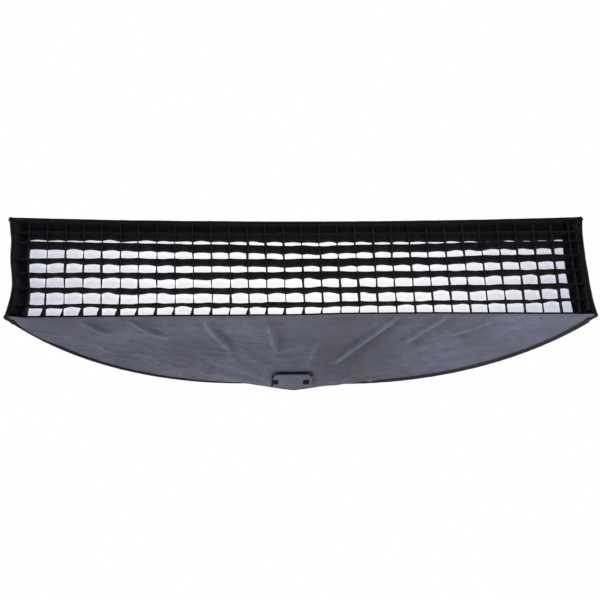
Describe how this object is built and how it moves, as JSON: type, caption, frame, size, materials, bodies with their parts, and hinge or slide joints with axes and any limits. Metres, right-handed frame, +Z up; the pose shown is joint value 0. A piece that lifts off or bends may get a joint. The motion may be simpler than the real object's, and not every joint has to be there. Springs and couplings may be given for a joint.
{
  "type": "strip softbox with fabric grid",
  "caption": "Strip softbox: grey fabric shell on bent rods and a bayonet speed ring, with a white front diffuser and a black fabric egg-crate grid.",
  "frame": {"origin": "centre of the bayonet's mounting plane, on the ring's axis", "axes": "+Y out of the back towards the light, -Y the way the open face looks, +X along the long side of the strip, +Z up across the short side"},
  "size_m": [1.6008, 0.49, 0.3502],
  "materials": {
    "insert_metal": "bead-blasted, satin",
    "ring_metal": "matt black powder coat",
    "plate_metal": "satin black",
    "screw_steel": "zinc plated",
    "pad_plastic": "natural nylon",
    "knob_plastic": "fine texture",
    "socket_brass": "turned, dull",
    "rod_steel": "drawn spring steel",
    "tip_rubber": "moulded",
    "seam_webbing": "binding over a seam channel",
    "shell_nylon": "coated slate-grey nylon, silver inside",
    "hem_nylon": "folded and stitched",
    "hook_tape": "hook and loop tape",
    "baffle_cloth": "thin white nylon",
    "elastic": "woven elastic",
    "stud_metal": "pressed snap studs",
    "diffuser_cloth": "translucent white nylon",
    "grid_cloth": "matt black polyester"
  },
  "bodies": {
    "insert": {"bayonet_insert": "insert_metal"},
    "softbox": {"speed_ring": "ring_metal", "retainer_ring": "plate_metal", "retainer_screws": "screw_steel", "socket_upper_right": "socket_brass", "socket_upper_left": "socket_brass", "socket_lower_right": "socket_brass", "socket_lower_left": "socket_brass", "rod_upper_right": "rod_steel", "rod_upper_left": "rod_steel", "rod_lower_right": "rod_steel", "rod_lower_left": "rod_steel", "rod_tip_upper_right": "tip_rubber", "rod_tip_upper_left": "tip_rubber", "rod_tip_lower_right": "tip_rubber", "rod_tip_lower_left": "tip_rubber", "sleeve_upper_right": "seam_webbing", "sleeve_upper_left": "seam_webbing", "sleeve_lower_right": "seam_webbing", "sleeve_lower_left": "seam_webbing", "corner_pocket_upper_right": "seam_webbing", "corner_pocket_upper_left": "seam_webbing", "corner_pocket_lower_right": "seam_webbing", "corner_pocket_lower_left": "seam_webbing", "upper_panel": "shell_nylon", "lower_panel": "shell_nylon", "right_panel": "shell_nylon", "left_panel": "shell_nylon", "upper_hem": "hem_nylon", "lower_hem": "hem_nylon", "right_hem": "hem_nylon", "left_hem": "hem_nylon", "collar_tabs": "hook_tape", "grid_hook_tape": "hook_tape", "diffuser_hook_tape": "hook_tape", "flap_hook_patches": "hook_tape", "inner_baffle": "baffle_cloth", "baffle_straps": "elastic", "baffle_studs": "stud_metal"},
    "lock_pad": {"lock_pad": "pad_plastic"},
    "lock_knob": {"lock_knob": "knob_plastic"},
    "upper_flap": {"upper_flap": "shell_nylon", "upper_flap_tabs": "hook_tape"},
    "lower_flap": {"lower_flap": "shell_nylon", "lower_flap_tabs": "hook_tape"},
    "diffuser": {"front_diffuser": "diffuser_cloth", "diffuser_border": "hook_tape"},
    "grid": {"grid_border": "grid_cloth", "grid_long_strips": "grid_cloth", "grid_cross_strips": "grid_cloth"}
  },
  "joints": [
    {"name": "box_spin", "type": "hinge", "parent": "insert", "child": "softbox", "pos_m": [0, 0, 0], "axis": [0, 1, 0], "continuous": true},
    {"name": "lock_advance", "type": "slide", "parent": "softbox", "child": "lock_pad", "axis": [1, 0, 0], "range_m": [0, 0.0017]},
    {"name": "lock_turn", "type": "hinge", "parent": "lock_pad", "child": "lock_knob", "pos_m": [0.0715, -0.0075, 0], "axis": [1, 0, 0], "range_deg": [0, 720]},
    {"name": "upper_flap_hinge", "type": "hinge", "parent": "softbox", "child": "upper_flap", "pos_m": [0, -0.036, 0.09152], "axis": [-1, 0, 0], "range_deg": [0, 110]},
    {"name": "lower_flap_hinge", "type": "hinge", "parent": "softbox", "child": "lower_flap", "pos_m": [0, -0.036, -0.09152], "axis": [1, 0, 0], "range_deg": [0, 110]},
    {"name": "diffuser_pull", "type": "slide", "parent": "softbox", "child": "diffuser", "axis": [0, -1, 0], "range_m": [0, 0.12]},
    {"name": "grid_pull", "type": "slide", "parent": "diffuser", "child": "grid", "axis": [0, -1, 0], "range_m": [0, 0.12]}
  ],
  "couplings": [
    {"joint": "lock_advance", "follows": "lock_turn", "m_per_rad": 0.00012732}
  ]
}
